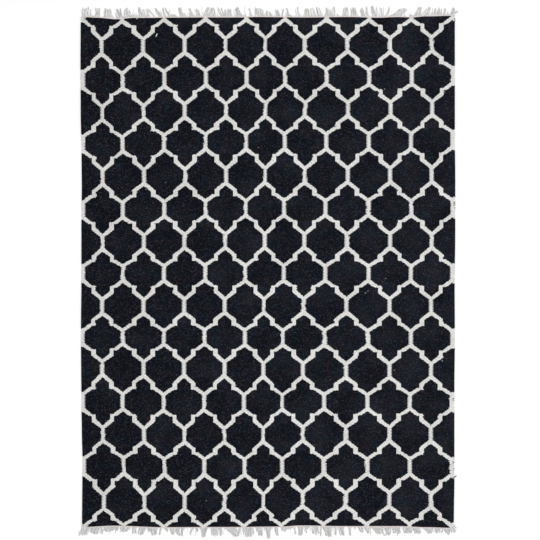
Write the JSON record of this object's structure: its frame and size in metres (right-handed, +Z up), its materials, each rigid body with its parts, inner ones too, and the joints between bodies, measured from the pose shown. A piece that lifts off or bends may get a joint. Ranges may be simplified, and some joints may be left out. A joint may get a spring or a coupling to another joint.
{
  "type": "kilim rug",
  "caption": "Flat-woven kilim rug, off-white trellis lattice on a near-black wool ground, with a twined heading and a short uneven cotton fringe at both ends.",
  "frame": {"origin": "on the floor under the middle of the rug", "axes": "+Y along the warps towards the end with the longer, sparser fringe, which is the picture's upper end, +X across the rug, +Z up from the floor"},
  "size_m": [1.73, 2.424, 0.0044],
  "materials": {
    "wool_field": "matte weft-faced wool weave, near-black heather ground with an off-white lattice",
    "cotton_heading": "matte twined cotton cord",
    "cotton_fringe": "matte loose cotton yarn"
  },
  "bodies": {
    "root": {"kilim_field": "wool_field", "heading_top": "cotton_heading", "heading_bottom": "cotton_heading", "fringe_top": "cotton_fringe", "fringe_bottom": "cotton_fringe"}
  },
  "joints": []
}
